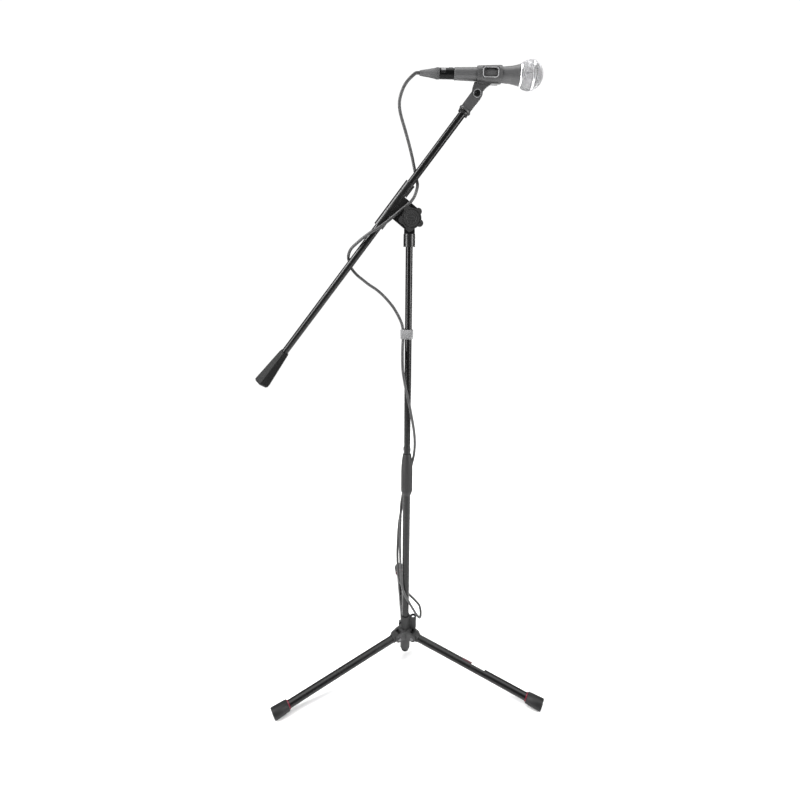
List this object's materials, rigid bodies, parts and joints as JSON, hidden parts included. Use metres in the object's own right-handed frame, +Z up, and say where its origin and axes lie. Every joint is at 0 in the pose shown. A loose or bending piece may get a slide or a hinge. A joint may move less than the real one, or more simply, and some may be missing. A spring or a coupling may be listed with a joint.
{
  "type": "boom microphone stand",
  "caption": "Boom microphone stand on a folding tripod, with a telescoping mast, a tilting boom with a counterweight, and a handheld microphone in a clip with its lead.",
  "frame": {"origin": "on the floor, under the axis of the mast", "axes": "+Z up along the mast, +X the way the boom rises, towards the microphone, +Y away from the star knob"},
  "size_m": [0.6543, 0.5612, 1.3508],
  "materials": {
    "tube_black": "gloss black paint",
    "cast_black": "satin black paint on a casting",
    "grey_plastic": "fine matt texture",
    "black_plastic": "satin",
    "clip_plastic": "soft satin",
    "rubber": "matt",
    "red_plastic": "gloss",
    "label": "printed film",
    "strap": "hook-and-loop weave",
    "steel": "zinc plated",
    "black_steel": "blackened",
    "weight_black": "textured black coat",
    "brass": "turned",
    "mic_body": "satin dark grey enamel",
    "chrome": "polished",
    "mesh": "woven wire",
    "foam": "open foam over the capsule",
    "cable": "matt jacket"
  },
  "bodies": {
    "base": {"leg_hub": "cast_black", "hub_collar": "grey_plastic", "collar_screw": "steel", "collar_set_screw": "black_steel", "base_end_cap": "rubber", "leg_pins": "steel", "lower_tube": "tube_black", "clutch_collet": "black_plastic"},
    "leg_1": {"leg_socket_1": "grey_plastic", "leg_tube_1": "tube_black", "foot_ring_1": "red_plastic", "foot_1": "rubber"},
    "leg_2": {"leg_socket_2": "grey_plastic", "leg_tube_2": "tube_black", "foot_ring_2": "red_plastic", "foot_2": "rubber"},
    "leg_3": {"leg_socket_3": "grey_plastic", "leg_tube_3": "tube_black", "foot_ring_3": "red_plastic", "foot_3": "rubber", "leg_label": "label"},
    "grip": {"clutch_grip": "grey_plastic"},
    "upper_mast": {"upper_tube": "tube_black", "slide_bush": "black_plastic", "cable_strap": "strap", "cable_mast": "cable", "cable_hang": "cable", "end_plug_shell": "steel", "end_plug_pins": "brass", "end_plug_boot": "rubber"},
    "head": {"mast_head": "cast_black"},
    "clamp": {"boom_clamp": "cast_black", "friction_washers": "steel", "pivot_nut": "steel", "cable_boom": "cable"},
    "knob": {"star_knob": "grey_plastic", "knob_cap": "grey_plastic", "pivot_bolt": "steel"},
    "boom": {"boom_tube": "tube_black", "counterweight": "weight_black", "boom_stud": "black_steel"},
    "lock_ring": {"lock_ring": "black_plastic"},
    "clip_base": {"clip_base": "clip_plastic", "clip_insert": "brass", "clip_screw": "black_steel", "clip_nut": "black_steel", "cable_mic": "cable"},
    "cradle": {"clip_cradle": "clip_plastic"},
    "microphone": {"mic_handle": "mic_body", "mic_ring": "chrome", "grille_lower": "mesh", "grille_band": "chrome", "grille_dome": "mesh", "mic_capsule": "foam", "mic_socket": "black_plastic"},
    "plug": {"plug_shell": "black_plastic", "plug_boot": "rubber"},
    "latch": {"plug_latch": "steel"}
  },
  "joints": [
    {"name": "leg_fold_1", "type": "hinge", "parent": "base", "child": "leg_1", "pos_m": [-0.00136, 0.02596, 0.07], "axis": [-0.9986, -0.0523, 0], "range_deg": [0, 80]},
    {"name": "leg_fold_2", "type": "hinge", "parent": "base", "child": "leg_2", "pos_m": [-0.02181, -0.01416, 0.07], "axis": [0.5446, -0.8387, 0], "range_deg": [0, 80]},
    {"name": "leg_fold_3", "type": "hinge", "parent": "base", "child": "leg_3", "pos_m": [0.02317, -0.0118, 0.07], "axis": [0.454, 0.891, 0], "range_deg": [0, 80]},
    {"name": "grip_twist", "type": "hinge", "parent": "base", "child": "grip", "pos_m": [0, 0, 0.5], "axis": [0, 0, 1], "range_deg": [0, 120]},
    {"name": "mast_slide", "type": "slide", "parent": "base", "child": "upper_mast", "axis": [0, 0, 1], "range_m": [-0.25, 0.05], "deforming": ["cable_mast"]},
    {"name": "head_swivel", "type": "hinge", "parent": "upper_mast", "child": "head", "pos_m": [0, 0, 1.03], "axis": [0, 0, 1], "range_deg": [-90, 90], "deforming": ["cable_hang"]},
    {"name": "boom_tilt", "type": "hinge", "parent": "head", "child": "clamp", "pos_m": [0.0037, 0, 1.0745], "axis": [0, 1, 0], "range_deg": [-35, 75]},
    {"name": "knob_turn", "type": "hinge", "parent": "clamp", "child": "knob", "pos_m": [0.0037, 0, 1.0745], "axis": [0, -1, 0], "continuous": true},
    {"name": "boom_slide", "type": "slide", "parent": "clamp", "child": "boom", "axis": [0.6211, 0, 0.7837], "range_m": [-0.1, 0.2]},
    {"name": "lock_ring_turn", "type": "hinge", "parent": "boom", "child": "lock_ring", "pos_m": [0.09858, 0, 1.26343], "axis": [0.6211, 0, 0.7837], "continuous": true},
    {"name": "clip_turn", "type": "hinge", "parent": "boom", "child": "clip_base", "pos_m": [0.10355, 0, 1.2697], "axis": [0.6211, 0, 0.7837], "range_deg": [-90, 90], "deforming": ["cable_mic"]},
    {"name": "clip_tilt", "type": "hinge", "parent": "clip_base", "child": "cradle", "pos_m": [0.1228, 0, 1.294], "axis": [0, 1, 0], "range_deg": [-45, 110]},
    {"name": "microphone_slide", "type": "slide", "parent": "cradle", "child": "microphone", "axis": [0.9998, 0, -0.0175], "range_m": [0, 0.09]},
    {"name": "plug_pull", "type": "slide", "parent": "microphone", "child": "plug", "axis": [-0.9998, 0, 0.0175], "range_m": [0, 0.02]},
    {"name": "latch_press", "type": "slide", "parent": "plug", "child": "latch", "axis": [-0.0175, 0, -0.9998], "range_m": [0, 0.0012], "stiffness_N_per_m": 300}
  ]
}
